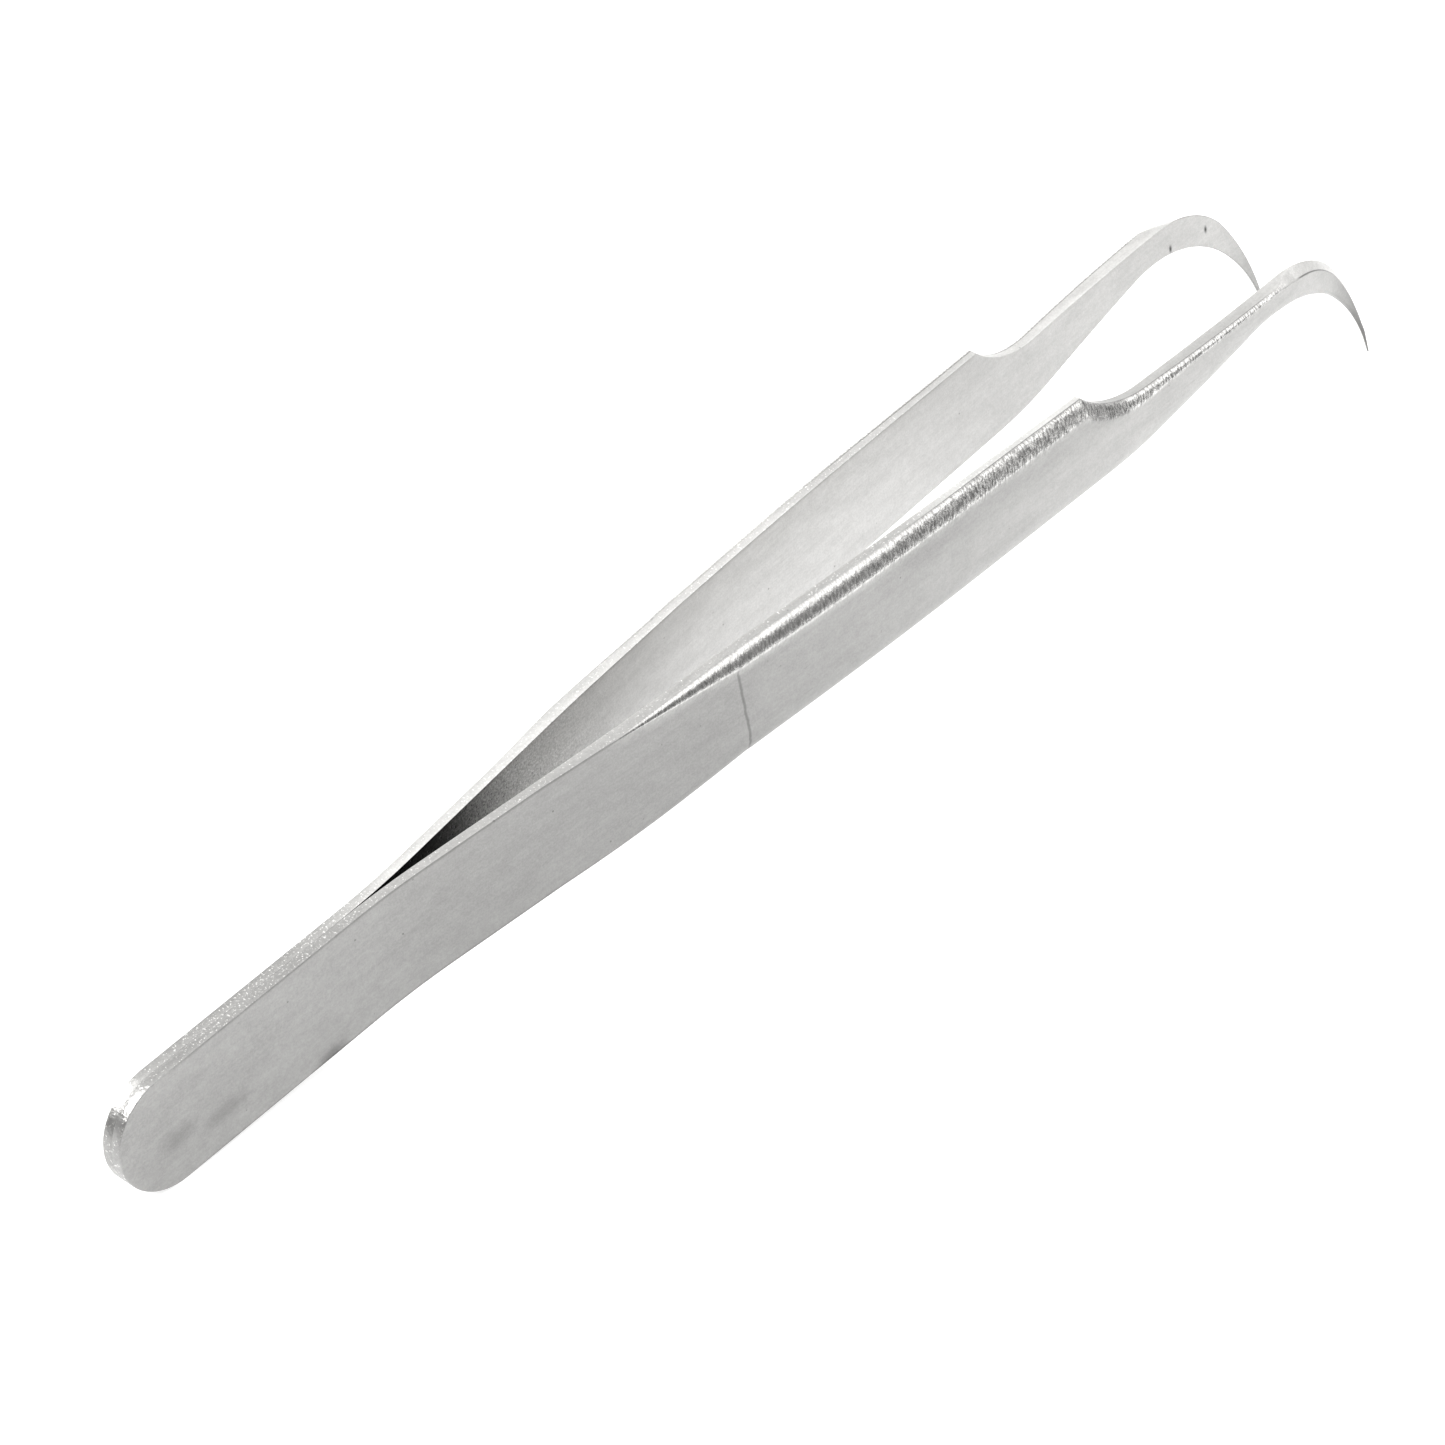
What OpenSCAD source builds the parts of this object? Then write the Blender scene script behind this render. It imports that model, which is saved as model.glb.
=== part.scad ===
// Spring tweezers with tips curved down: two mirrored stainless leaves, spot-welded at the heel.
// Each leaf is one flexing strip. It is cut at its flexure into a fixed heel half and a moving arm.
// Leaf frame: +X from heel to tips, +Y away from the other leaf, +Z across the leaf, tips down.
// Every node is then laid on its heel edge and its two tips, with the ground at z = 0.

/* [Leaf] */
// Length from the heel end to the needle point, along the leaf
leaf_length = 115; // [110:1:120]
// Width of the heel and the spring section
heel_width = 8.4; // [7.5:0.1:9.5]
// Thickness of the heel and the spring section
spring_thickness = 0.8; // [0.7:0.05:0.9]
// Thickness of the grip section, past the crease
grip_thickness = 1.5; // [1.2:0.05:1.6]
// Thickness of the neck
neck_thickness = 1.25; // [1:0.05:1.4]
// Thickness at the needle point
point_thickness = 0.14; // [0.1:0.02:0.3]

/* [Bow] */
// Length over which the two leaves lie flat on each other
weld_length = 20.5; // [18:0.5:22]
// Outward slope of the spring section
flare_slope = 0.105; // [0.09:0.005:0.12]
// Outward slope at the crease, where the grip section begins
crease_slope = 0.074; // [0.06:0.002:0.09]
// Outward slope of the rest of the grip section
grip_slope = 0.04; // [0.03:0.001:0.05]
// Outward slope of the neck
neck_slope = 0.055; // [0.04:0.005:0.06]
// Inward slope at the needle point
point_slope = 0.1; // [0:0.01:0.12]
// Place of the flexure, where the moving arm turns
flexure_x = 34; // [30:1:38]

/* [Grip] */
// Place of the crease where the ground spring section ends
crease_x = 52; // [50:1:55]
// Depth of the rounding of the grip's upper outer corner, across the leaf
upper_round = 1.35; // [1:0.05:2]
// Depth of the rounding of the lower outer corner, across the leaf
lower_round = 2.4; // [1.5:0.1:2.8]
// Thickness of the upper edge that stays flat beside the rounding
edge_strip = 0.62; // [0.5:0.02:0.8]
// Height of the upper edge above the centreline at the notch
notch_top = 3.5; // [3.2:0.1:3.8]

/* [Neck] */
// Place of the notch corner
notch_x = 85; // [83:0.5:86]
// Radius of the notch's hollow
notch_radius = 7.4; // [7:0.1:8]
// Height of the neck's upper edge above the centreline
neck_top = 0.8; // [0.6:0.05:1]
// Rise of the neck's lower edge, in degrees
neck_rise = 10.6; // [9.5:0.1:11.5]
// Width of the neck where the hook begins
hook_width = 2.42; // [2.2:0.02:2.6]

/* [Hook] */
// Radius of the hook's outer edge
hook_outer_radius = 7.5; // [7:0.1:8]
// Turn of the hook's outer edge before it straightens, in degrees
hook_outer_turn = 60; // [56:1:62]
// Radius of the hook's inner edge
hook_inner_radius = 9.5; // [9:0.1:10]
// Turn of the hook's inner edge before it straightens, in degrees
hook_inner_turn = 50; // [47:1:52]
// Depth of the needle point below the centreline
point_drop = 12.2; // [11.5:0.1:12.8]
// Width of the bevel along the hook's outer edge
hook_bevel = 0.7; // [0.4:0.05:0.9]

/* [Welds] */
// Radius of each spot weld's fused disc
weld_radius = 1.2; // [0.8:0.1:1.5]
// Thickness of each fused disc, half of it in each leaf
weld_depth = 0.7; // [0.4:0.1:0.9]
// Place of the rear spot weld
weld_rear_x = 4.2; // [3.5:0.1:4.5]
// Distance between the two spot welds
weld_pitch = 3.7; // [3.2:0.1:5]
// Height of the spot welds, below the centreline
weld_drop = 0.9; // [0:0.1:1.5]

/* [Hidden] */
$fn = 64;

half_width = heel_width / 2;
// Saw gap between a leaf's fixed half and its moving half
flexure_gap = 0.02;
// Outward slope just before the hook
hook_slope = 0.03;
// Height of the step at the crease, on the outer face
crease_step = 0.06;
// Where the ground spring section starts to thicken towards the crease
grind_x = 36;
// Thickness left unrounded along the inner edges
edge_lip = 0.12;
// Smallest corner rounding, so that a section never loses a corner
least_round = 0.02;
// Where the upper edge starts to taper towards the notch
taper_x = 54;
// Where the notch's hollow has run out, and the neck's upper edge is level
neck_x = notch_x + 6;
// Where the hollow's arc starts, past the notch corner
notch_start = 0.4;
// Rounding of the neck's upper outer corner
neck_round = 0.5;
// Where the hook's bend starts, on its outer and on its inner edge
hook_outer_x = leaf_length - 9.6;
hook_inner_x = leaf_length - 10.8;
hook_inner_z = neck_top - hook_width;
// Radius between the lower edge of the grip and the rising edge of the neck
neck_blend = 30;
steel = [0.76, 0.77, 0.78];
weld_steel = [0.62, 0.62, 0.62];

// Outward slope of the leaf at places along it: it bends between these places
BEND = [[weld_length, 0], [weld_length + 6.5, flare_slope], [crease_x - 12, flare_slope],
        [crease_x - 6, crease_slope], [crease_x + 5, crease_slope], [crease_x + 20, grip_slope],
        [notch_x, grip_slope], [notch_x + 8, neck_slope], [leaf_length - 15, hook_slope],
        [leaf_length - 10, 0], [leaf_length, -point_slope]];

// Outward step of one bend, from its start up to x
function bend_step(a, b, x) =
    x <= a.x ? 0 :
    let (u = min(x, b.x) - a.x)
    a.y * u + (b.y - a.y) * u * u / (2 * (b.x - a.x));

// Distance of the leaf's inner face from the middle plane
function bow(x, i = 0) =
    i >= len(BEND) - 1 ? 0 :
    bend_step(BEND[i], BEND[i + 1], x) + bow(x, i + 1);

function mix(a, b, w) = a + (b - a) * w;
function ramp(x, a, b) = max(0, min(1, (x - a) / (b - a)));
function steps(count) = [for (i = [1 : count]) i / count];

// Leaf thickness, with the step at the crease
function thickness(x) =
    x <= crease_x ? mix(spring_thickness, grip_thickness - crease_step, ramp(x, grind_x, crease_x)) :
    x <= leaf_length - 10 ? mix(grip_thickness, neck_thickness, ramp(x, notch_x - 13, notch_x + 8)) :
    mix(neck_thickness, point_thickness, ramp(x, leaf_length - 10, leaf_length));

// A point on a circle, by its downward turn from the circle's top
function top_arc(centre, radius, turn) = centre + radius * [sin(turn), cos(turn)];

// Points along the arc that leaves p in the downward direction turn and ends at q
function arc_to(p, turn, q, count) =
    let (chord = q - p,
         bend = 2 * (atan2(-chord.y, chord.x) - turn),
         radius = norm(chord) / (2 * sin(bend / 2)),
         centre = p - radius * [sin(turn), cos(turn)])
    [for (w = steps(count)) top_arc(centre, radius, turn + bend * w)];

// The needle point's two corners, on the hook's outer and inner edge
point_outer = [leaf_length, -point_drop];
point_inner = [leaf_length - 0.12, -point_drop];

// Stations along each stretch: grip, notch, neck, hook bend, needle
GRIP_STEPS = 26;
NOTCH_STEPS = 8;
NECK_STEPS = 8;
HOOK_STEPS = 14;
NEEDLE_STEPS = 12;

arm_x = flexure_x + flexure_gap / 2;

// Height of the upper edge up to the notch
function upper_edge(x) = mix(half_width, notch_top, ramp(x, taper_x, notch_x));

// Upper edge of the arm, from the flexure to the needle point
notch_centre = [neck_x, neck_top + notch_radius];
notch_turn = asin((neck_x - notch_x - notch_start) / notch_radius);
hook_outer_centre = [hook_outer_x, neck_top - hook_outer_radius];
hook_outer_end = top_arc(hook_outer_centre, hook_outer_radius, hook_outer_turn);
upper_path = concat(
    [for (w = [0 : 1 / GRIP_STEPS : 1.001]) let (x = mix(arm_x, notch_x, w)) [x, upper_edge(x)]],
    [for (w = steps(NOTCH_STEPS)) notch_centre - notch_radius * [sin(notch_turn * (1 - w)),
                                                                 cos(notch_turn * (1 - w))]],
    [for (w = steps(NECK_STEPS)) [mix(neck_x, hook_outer_x, w), neck_top]],
    [for (w = steps(HOOK_STEPS)) top_arc(hook_outer_centre, hook_outer_radius, hook_outer_turn * w)],
    arc_to(hook_outer_end, hook_outer_turn, point_outer, NEEDLE_STEPS));

// Lower edge of the arm: level, then a blend, the rising neck, and the hook's inner edge
hook_inner_centre = [hook_inner_x, hook_inner_z - hook_inner_radius];
rise_end = top_arc(hook_inner_centre, hook_inner_radius, -neck_rise);
rise_foot_x = rise_end.x - (rise_end.y + half_width) / tan(neck_rise);
blend_reach = neck_blend * tan(neck_rise / 2);
hook_inner_end = top_arc(hook_inner_centre, hook_inner_radius, hook_inner_turn);
function lower_edge(x) =
    let (u = x - (rise_foot_x - blend_reach))
    u <= 0 ? -half_width :
    u < neck_blend * sin(neck_rise) ? -half_width + neck_blend - sqrt(neck_blend * neck_blend - u * u) :
    rise_end.y - (rise_end.x - x) * tan(neck_rise);
lower_path = concat(
    [for (w = [0 : 1 / GRIP_STEPS : 1.001]) let (x = mix(arm_x, notch_x, w)) [x, lower_edge(x)]],
    [for (w = steps(NOTCH_STEPS)) let (x = mix(notch_x, neck_x, w)) [x, lower_edge(x)]],
    [for (w = steps(NECK_STEPS)) let (x = mix(neck_x, rise_end.x, w)) [x, lower_edge(x)]],
    [for (w = steps(HOOK_STEPS)) top_arc(hook_inner_centre, hook_inner_radius,
                                         mix(-neck_rise, hook_inner_turn, w))],
    arc_to(hook_inner_end, hook_inner_turn, point_inner, NEEDLE_STEPS));

// Depth of the upper corner's rounding across the leaf
function upper_depth(x) =
    x <= crease_x ? mix(least_round, upper_round * 0.88, ramp(x, grind_x, crease_x)) :
    x <= notch_x + 1 ? upper_round :
    x <= hook_outer_x ? mix(upper_round, neck_round, ramp(x, notch_x + 1, neck_x + 1)) :
    mix(neck_round, hook_bevel, ramp(x, hook_outer_x, hook_outer_x + 3))
        * (1 - 0.9 * ramp(x, leaf_length - 4, leaf_length));
function lower_depth(x) =
    mix(least_round, lower_round, ramp(x, grind_x, crease_x))
        * (1 - 0.9 * ramp(x, leaf_length - 14, leaf_length - 6));

// One corner of a section as [distance from the edge, depth from the inner face], edge to outer face
CORNER_STEPS = 5;
function corner(across, deep, full, flat) =
    [for (i = [0 : CORNER_STEPS])
        let (w = i / CORNER_STEPS)
        [across * mix(1 - cos(90 * w), w, flat), full - deep + deep * mix(sin(90 * w), w, flat)]];

// The section's ring of points at one station
function section(upper, lower) =
    let (span = upper - lower,
         width = norm(span),
         along = span / width,
         x = (upper.x + lower.x) / 2,
         full = thickness(x),
         room = max(full - edge_lip, full * 0.3),
         top = min(upper_depth(upper.x), width * 0.35),
         low = min(lower_depth(lower.x), width * 0.55),
         flat = ramp(x, hook_outer_x - 1, hook_outer_x + 1),
         upper_deep = mix(min(top, full - edge_strip), room, flat),
         upper_ring = corner(top, upper_deep, full, flat),
         lower_ring = corner(low, min(room, low), full, 0))
    concat(
        [for (c = [[0, 0], [width, 0]]) let (p = lower + along * c.x) [p.x, bow(p.x), p.y]],
        [for (c = upper_ring) let (p = upper - along * c.x) [p.x, bow(p.x) + c.y, p.y]],
        [for (i = [CORNER_STEPS : -1 : 0]) let (c = lower_ring[i], p = lower + along * c.x)
            [p.x, bow(p.x) + c.y, p.y]]);

// A closed skin over rings of equal length
module skin(rings) {
    ring_size = len(rings[0]);
    last = (len(rings) - 1) * ring_size;
    sides = [for (i = [0 : len(rings) - 2], j = [0 : ring_size - 1])
        let (a = i * ring_size + j,
             b = i * ring_size + (j + 1) % ring_size)
        each [[a, b, a + ring_size], [b, b + ring_size, a + ring_size]]];
    caps = [[for (j = [ring_size - 1 : -1 : 0]) j], [for (j = [0 : ring_size - 1]) last + j]];
    polyhedron([for (ring = rings) each ring], concat(sides, caps), convexity = 6);
}

// The lie: turned about Y until the heel's round end and the needle points touch the ground
reach = [point_inner.x - half_width, point_drop];
lie_angle = atan2(reach.y, reach.x) - asin(half_width / norm(reach));
ground_lift = half_width - half_width * sin(lie_angle);
heel_end_x = half_width * cos(lie_angle) - half_width;
point_end_x = point_outer.x * cos(lie_angle) - point_outer.y * sin(lie_angle);
module lie() {
    translate([-(heel_end_x + point_end_x) / 2, 0, ground_lift])
        rotate([0, -lie_angle, 0])
            children();
}

// Side +1 is the back leaf, -1 the front leaf
module placed(side) {
    lie() mirror([0, side < 0 ? 1 : 0, 0]) children();
}

module weld_disc(x) {
    translate([x, 0, -weld_drop])
        rotate([90, 0, 0])
            cylinder(r = weld_radius, h = weld_depth, center = true);
}

module heel_outline() {
    translate([half_width, 0]) circle(r = half_width);
    translate([half_width, -half_width]) square([flexure_x - half_width - flexure_gap / 2, heel_width]);
}

// The strip seen from above: flat along the weld, then bowed outwards
module heel_plan() {
    end_x = flexure_x - flexure_gap / 2;
    bends = [for (w = [0 : 1 / 10 : 1.001]) let (x = mix(weld_length, end_x, w)) [x, bow(x)]];
    outer = [for (i = [len(bends) - 1 : -1 : 0]) bends[i] + [0, spring_thickness]];
    polygon(concat([[-1, 0]], bends, outer, [[-1, spring_thickness]]));
}

module leaf_heel(side) {
    color(steel)
        placed(side)
            difference() {
                intersection() {
                    translate([0, 0, -half_width - 1]) linear_extrude(heel_width + 2) heel_plan();
                    translate([0, 4, 0]) rotate([90, 0, 0]) linear_extrude(8) heel_outline();
                }
                weld_disc(weld_rear_x);
                weld_disc(weld_rear_x + weld_pitch);
            }
}

module leaf_arm(side) {
    color(steel)
        placed(side)
            skin([for (i = [0 : len(upper_path) - 1]) section(upper_path[i], lower_path[i])]);
}

module spot_weld(x) {
    color(weld_steel) lie() weld_disc(x);
}

module front_leaf_heel() { leaf_heel(-1); }
module back_leaf_heel() { leaf_heel(1); }
module front_leaf_arm() { leaf_arm(-1); }
module back_leaf_arm() { leaf_arm(1); }
module rear_spot_weld() { spot_weld(weld_rear_x); }
module front_spot_weld() { spot_weld(weld_rear_x + weld_pitch); }

front_leaf_heel();
front_leaf_arm();
back_leaf_heel();
back_leaf_arm();
rear_spot_weld();
front_spot_weld();
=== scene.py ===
"""Curved-tip spring tweezers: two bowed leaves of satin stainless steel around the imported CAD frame.

Each leaf is one continuous mesh over its two CAD halves, so it bends at the flexure without a cut.
Leaf sizes are millimetres in the leaf frame: +X from heel to tips, +Y outwards, +Z across the leaf.
"""
import math
import bmesh
import bpy
import numpy as np
from mathutils import Matrix, Vector


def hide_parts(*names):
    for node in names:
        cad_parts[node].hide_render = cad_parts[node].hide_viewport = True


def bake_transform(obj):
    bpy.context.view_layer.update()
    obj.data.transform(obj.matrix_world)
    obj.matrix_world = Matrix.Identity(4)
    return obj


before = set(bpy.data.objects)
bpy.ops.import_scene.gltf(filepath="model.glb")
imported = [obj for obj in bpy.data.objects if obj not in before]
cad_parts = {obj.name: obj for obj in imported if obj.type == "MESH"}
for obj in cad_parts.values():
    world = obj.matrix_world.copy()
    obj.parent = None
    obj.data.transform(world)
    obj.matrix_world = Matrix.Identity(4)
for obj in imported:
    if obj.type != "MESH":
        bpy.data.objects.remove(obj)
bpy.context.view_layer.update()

MM = 0.001

# Driving sizes of a leaf, in millimetres
LEAF_LENGTH = 115.0
HEEL_WIDTH = 8.4
SPRING_THICKNESS = 0.8
GRIP_THICKNESS = 1.5
NECK_THICKNESS = 1.25
POINT_THICKNESS = 0.14
WELD_LENGTH = 20.5
GRIND_X = 36.0
CREASE_X = 52.0
CREASE_STEP = 0.06
TAPER_X = 54.0
NOTCH_X = 85.0
NOTCH_TOP = 3.5
NOTCH_RADIUS = 7.4
NECK_TOP = 0.8
NECK_RISE = math.radians(10.6)
HOOK_WIDTH = 2.42
HOOK_OUTER_RADIUS = 7.5
HOOK_OUTER_TURN = math.radians(60)
HOOK_INNER_RADIUS = 9.5
HOOK_INNER_TURN = math.radians(50)
NECK_BLEND = 30.0
POINT_DROP = 12.2
POINT_WIDTH = 0.12

# Places that follow from them
HALF_WIDTH = HEEL_WIDTH / 2
NECK_X = NOTCH_X + 6
HOOK_X = LEAF_LENGTH - 9.6
HOOK_INNER_X = LEAF_LENGTH - 10.8
BEVEL_START, BEVEL_END = HOOK_X - 1.0, HOOK_X + 1.2
HOOK_OUTER_CENTRE = Vector((HOOK_X, NECK_TOP - HOOK_OUTER_RADIUS))
HOOK_INNER_CENTRE = Vector((HOOK_INNER_X, NECK_TOP - HOOK_WIDTH - HOOK_INNER_RADIUS))

# Outward slope of the leaf at places along it: it bends between these places
BEND = [(WELD_LENGTH, 0.0), (WELD_LENGTH + 6.5, 0.105), (CREASE_X - 12, 0.105),
        (CREASE_X - 6, 0.074), (CREASE_X + 5, 0.074), (CREASE_X + 20, 0.04),
        (NOTCH_X, 0.04), (NOTCH_X + 8, 0.055), (LEAF_LENGTH - 15, 0.03),
        (LEAF_LENGTH - 10, 0.0), (LEAF_LENGTH, -0.1)]

# The corner of the upper edge turns through these angles, in three rounds
LIP_TURN = math.radians(48)
FLANK_TURN = math.radians(68)
FACE_TURN = math.radians(90)
# Rounding left on a plain square edge, and on the inner edges where the leaves are ground flush
EDGE_FILLET = 0.06
FLUSH_FILLET = 0.012
# Points of an edge's profile, and of a face between its two edges
LIP_STEPS, FLANK_STEPS, FADE_STEPS = 4, 4, 3
PROFILE_POINTS = 4 + LIP_STEPS + FLANK_STEPS + FADE_STEPS
FACE_POINTS = 9
# How far from its edges the inner face has an extra point, and the sharpest shaded angle
SUPPORT_INSET = 0.12
SHARP_ANGLE = math.radians(32)
# Points closer than this are merged, and edges shorter than this are dissolved
MERGE_DISTANCE = 0.002
SHORTEST_EDGE = 0.0005


def mix(a, b, w):
    return a + (b - a) * w


def ramp(x, a, b):
    return max(0.0, min(1.0, (x - a) / (b - a)))


def along(points, x):
    """A value that runs straight between (place, value) pairs."""
    for (xa, va), (xb, vb) in zip(points, points[1:]):
        if x <= xb:
            return mix(va, vb, ramp(x, xa, xb))
    return points[-1][1]


def bow(x):
    """Distance of the leaf's inner face from the middle plane."""
    out = 0.0
    for (xa, slope_a), (xb, slope_b) in zip(BEND, BEND[1:]):
        if x > xa:
            u = min(x, xb) - xa
            out += slope_a * u + (slope_b - slope_a) * u * u / (2 * (xb - xa))
    return out


def thickness(x):
    if x <= CREASE_X:
        return mix(SPRING_THICKNESS, GRIP_THICKNESS - CREASE_STEP, ramp(x, GRIND_X, CREASE_X))
    return along([(CREASE_X, GRIP_THICKNESS - CREASE_STEP), (CREASE_X + 0.3, GRIP_THICKNESS),
                  (NOTCH_X - 13, GRIP_THICKNESS), (NOTCH_X + 8, NECK_THICKNESS),
                  (LEAF_LENGTH - 10, NECK_THICKNESS), (LEAF_LENGTH, POINT_THICKNESS)], x)


# ---- Outline: stations, each with a point on the upper and on the lower edge ----

def on_arc(centre, radius, turn):
    """A point on a circle by its downward turn from the top, and the direction to it."""
    out = Vector((math.sin(turn), math.cos(turn)))
    return centre + out * radius, out


def arc_to(p, turn, q, count):
    """Points and outward directions along the arc that leaves p turned down by turn and ends at q."""
    chord = q - p
    bend = 2 * (math.atan2(-chord.y, chord.x) - turn)
    radius = chord.length / (2 * math.sin(bend / 2))
    centre = p - Vector((math.sin(turn), math.cos(turn))) * radius
    return [on_arc(centre, radius, turn + bend * i / count) for i in range(1, count + 1)]


def upper_edge(x):
    return mix(HALF_WIDTH, NOTCH_TOP, ramp(x, TAPER_X, NOTCH_X))


RISE_END = on_arc(HOOK_INNER_CENTRE, HOOK_INNER_RADIUS, -NECK_RISE)[0]
RISE_FOOT_X = RISE_END.x - (RISE_END.y + HALF_WIDTH) / math.tan(NECK_RISE)
BLEND_START_X = RISE_FOOT_X - NECK_BLEND * math.tan(NECK_RISE / 2)


def lower_edge(x):
    u = x - BLEND_START_X
    if u <= 0:
        return -HALF_WIDTH
    if u < NECK_BLEND * math.sin(NECK_RISE):
        return -HALF_WIDTH + NECK_BLEND - math.sqrt(NECK_BLEND * NECK_BLEND - u * u)
    return RISE_END.y - (RISE_END.x - x) * math.tan(NECK_RISE)


def on_graph(edge, x, side):
    """A point of an edge given as a height over x, and the direction into the leaf there."""
    slope = (edge(x + 0.01) - edge(x - 0.01)) / 0.02
    return Vector((x, edge(x))), Vector((-slope, 1)).normalized() * side


def heel_stations(count=20):
    """The round heel end: both edges start at one point."""
    rows = []
    for i in range(count + 1):
        turn = math.radians(90) * i / count
        x, z = HALF_WIDTH * (1 - math.cos(turn)), HALF_WIDTH * math.sin(turn)
        rows.append(((Vector((x, z)), Vector((math.cos(turn), -math.sin(turn)))),
                     (Vector((x, -z)), Vector((math.cos(turn), math.sin(turn))))))
    return rows


def strip_stations(pitch=0.5):
    """The heel, spring and grip, up to just before the notch corner."""
    end = NOTCH_X - 0.4
    count = round((end - HALF_WIDTH) / pitch)
    places = [mix(HALF_WIDTH, end, i / count) for i in range(1, count + 1)]
    places = sorted([x for x in places if abs(x - CREASE_X) > 0.4]
                    + [CREASE_X - 0.15, CREASE_X, CREASE_X + 0.15, CREASE_X + 0.3])
    return [(on_graph(upper_edge, x, -1), on_graph(lower_edge, x, 1)) for x in places]


def notch_stations(count=22):
    """The notch corner, with its mitre, and the hollow that runs out onto the neck."""
    centre = Vector((NECK_X, NECK_TOP + NOTCH_RADIUS))
    corner_x = NOTCH_X + 0.29
    corner_turn = math.asin((NECK_X - corner_x) / NOTCH_RADIUS)
    before = on_graph(upper_edge, corner_x, -1)
    after = Vector((-math.sin(corner_turn), -math.cos(corner_turn)))
    mitre = (before[1] + after) / (1 + before[1].dot(after))
    rows = [((before[0], mitre), on_graph(lower_edge, corner_x - 0.2, 1))]
    first_turn = corner_turn - math.radians(4.5)
    for i in range(count + 1):
        turn = first_turn * (1 - i / count)
        inward = Vector((-math.sin(turn), -math.cos(turn)))
        x = mix(corner_x, NECK_X, (i + 0.5) / (count + 0.5))
        rows.append(((centre + inward * NOTCH_RADIUS, inward), on_graph(lower_edge, x, 1)))
    return rows


def neck_stations(count=26):
    rows = []
    for i in range(1, count + 1):
        w = i / count
        upper = Vector((mix(NECK_X, HOOK_X, w), NECK_TOP)), Vector((0, -1))
        rows.append((upper, on_graph(lower_edge, mix(NECK_X, RISE_END.x - 0.01, w), 1)))
    return rows


def hook_stations(count=30, needle_count=34):
    rows = []
    for i in range(1, count + 1):
        w = i / count
        top, out = on_arc(HOOK_OUTER_CENTRE, HOOK_OUTER_RADIUS, HOOK_OUTER_TURN * w)
        low, into = on_arc(HOOK_INNER_CENTRE, HOOK_INNER_RADIUS,
                           mix(-NECK_RISE, HOOK_INNER_TURN, w))
        rows.append(((top, -out), (low, into)))
    point = Vector((LEAF_LENGTH, -POINT_DROP))
    outer = arc_to(rows[-1][0][0], HOOK_OUTER_TURN, point, needle_count)
    inner = arc_to(rows[-1][1][0], HOOK_INNER_TURN, point - Vector((POINT_WIDTH, 0)), needle_count)
    for (top, out), (low, into) in zip(outer, inner):
        rows.append(((top, -out), (low, into)))
    return rows


def leaf_stations():
    return (heel_stations() + strip_stations() + notch_stations() + neck_stations()
            + hook_stations())


# ---- Edge profiles: (distance from the edge, height above the inner face) ----

def inner_fillet(size):
    return [(size, 0.0), (size * 0.293, size * 0.293), (0.0, size)]


def rounded_profile(full, rounds, lip=EDGE_FILLET):
    """A flat edge with a small inner lip, then three rounds that turn it into the outer face."""
    size = min(lip, full * 0.3)
    turns = [0.0, LIP_TURN, FLANK_TURN, FACE_TURN]
    rise = sum(r * (math.sin(b) - math.sin(a)) for r, a, b in zip(rounds, turns, turns[1:]))
    fit = min(1.0, (full - size) * 0.95 / rise)
    inset, height = 0.0, full - rise * fit
    points = inner_fillet(size) + [(inset, height)]
    steps = (LIP_STEPS, FLANK_STEPS, FADE_STEPS)
    for radius, a, b, count in zip(rounds, turns, turns[1:], steps):
        for i in range(1, count + 1):
            turn = mix(a, b, i / count)
            points.append((inset + radius * fit * (math.cos(a) - math.cos(turn)),
                           height + radius * fit * (math.sin(turn) - math.sin(a))))
        inset, height = points[-1]
    return points


def bevel_profile(full, across):
    """The hook's edge: one flat bevel from the inner edge to the outer face."""
    size = min(EDGE_FILLET, full * 0.3)
    count = PROFILE_POINTS - 3
    return inner_fillet(size) + [(across * i / count, mix(size, full, i / count))
                                 for i in range(1, count + 1)]


def crown_profile(full, across):
    """The lower edge: the outer face falls away in a long quarter ellipse."""
    size = min(EDGE_FILLET, full * 0.3)
    deep = max(full - 0.12, full * 0.3)
    count = PROFILE_POINTS - 4
    points = inner_fillet(size)
    for i in range(count + 1):
        turn = math.radians(90) * i / count
        points.append((across * (1 - math.cos(turn)), full - deep + deep * math.sin(turn)))
    return points


def blend_profiles(first, second, w):
    return [(mix(a[0], b[0], w), mix(a[1], b[1], w)) for a, b in zip(first, second)]


# Radii of the inner lip, the outer lip, the flank and the fade into the face, along the leaf
INNER_LIP = [(WELD_LENGTH - 2, FLUSH_FILLET), (WELD_LENGTH + 3, EDGE_FILLET)]
LIP_RADIUS = [(41, EDGE_FILLET), (44, 0.2), (52, 0.55), (80, 0.55), (94, 0.42), (105, 0.4)]
FLANK_RADIUS = [(41.5, EDGE_FILLET), (44, 0.5), (48, 1.3), (52, 2.2), (57, 2.7), (86, 2.7),
                (88.5, 2.0), (90, 1.4), (94, 0.75), (98, 0.35), (103, 0.1)]
FADE_RADIUS = [(42, EDGE_FILLET), (52, 0.5), (90, 0.4), (100, 0.2)]
LOWER_ACROSS = [(GRIND_X, EDGE_FILLET), (CREASE_X, 2.4), (LEAF_LENGTH - 14, 2.4),
                (LEAF_LENGTH - 6, 0.3)]
HOOK_BEVEL = [(HOOK_X - 2, 0.45), (HOOK_X + 2, 0.62), (LEAF_LENGTH - 4, 0.5), (LEAF_LENGTH, 0.05)]


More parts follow.
